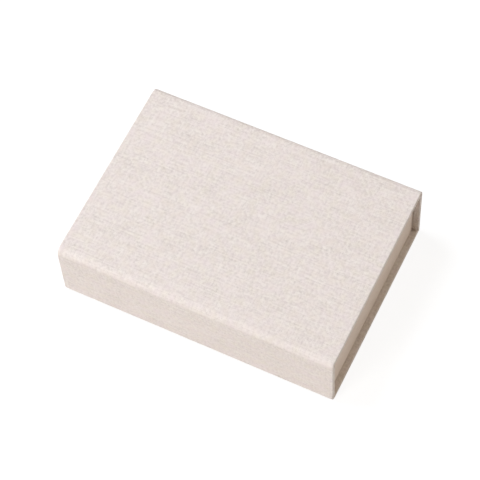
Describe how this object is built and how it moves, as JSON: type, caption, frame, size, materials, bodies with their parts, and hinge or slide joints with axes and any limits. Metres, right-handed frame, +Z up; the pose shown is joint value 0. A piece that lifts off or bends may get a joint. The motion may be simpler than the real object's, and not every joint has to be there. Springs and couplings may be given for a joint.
{
  "type": "photo storage box",
  "caption": "Low rectangular book-style box wrapped in natural linen, with a cloth-hinged lid and a magnetic front flap over a paper-lined tray.",
  "frame": {"origin": "middle of the underside of the closed box", "axes": "+X along the spine, +Y from the spine to the flap, +Z up"},
  "size_m": [0.17, 0.122, 0.045],
  "materials": {
    "linen_cloth": "plain-woven linen book cloth, matt, with slubs",
    "grey_board": "raw grey board",
    "lining_paper": "smooth uncoated paper",
    "tray_paper": "smooth uncoated paper",
    "magnet_steel": "nickel plated"
  },
  "bodies": {
    "tray": {"bottom_board": "grey_board", "bottom_cloth": "linen_cloth", "spine_foot_cloth": "linen_cloth", "spine_board": "grey_board", "spine_cloth": "linen_cloth", "spine_lining": "lining_paper", "spine_top_cloth": "linen_cloth", "spine_top_lining": "lining_paper", "tray_floor": "grey_board", "tray_floor_paper": "tray_paper", "tray_back_wall": "grey_board", "tray_front_wall": "grey_board", "tray_left_wall": "grey_board", "tray_right_wall": "grey_board", "tray_magnets": "magnet_steel", "tray_back_paper": "tray_paper", "tray_right_paper": "tray_paper", "tray_front_paper": "tray_paper", "tray_left_paper": "tray_paper"},
    "lid": {"lid_board": "grey_board", "lid_cloth": "linen_cloth", "lid_lining": "lining_paper", "flap_joint_cloth": "linen_cloth", "flap_joint_lining": "lining_paper"},
    "flap": {"flap_board": "grey_board", "flap_cloth": "linen_cloth", "flap_lining": "lining_paper", "flap_magnets": "magnet_steel"}
  },
  "joints": [
    {"name": "lid_hinge", "type": "hinge", "parent": "tray", "child": "lid", "pos_m": [0, -0.06003, 0.04403], "axis": [1, 0, 0], "range_deg": [0, 180], "deforming": ["spine_top_cloth", "spine_top_lining"]},
    {"name": "flap_hinge", "type": "hinge", "parent": "lid", "child": "flap", "pos_m": [0, 0.06025, 0.04425], "axis": [1, 0, 0], "range_deg": [0, 180], "deforming": ["flap_joint_cloth", "flap_joint_lining"]}
  ]
}
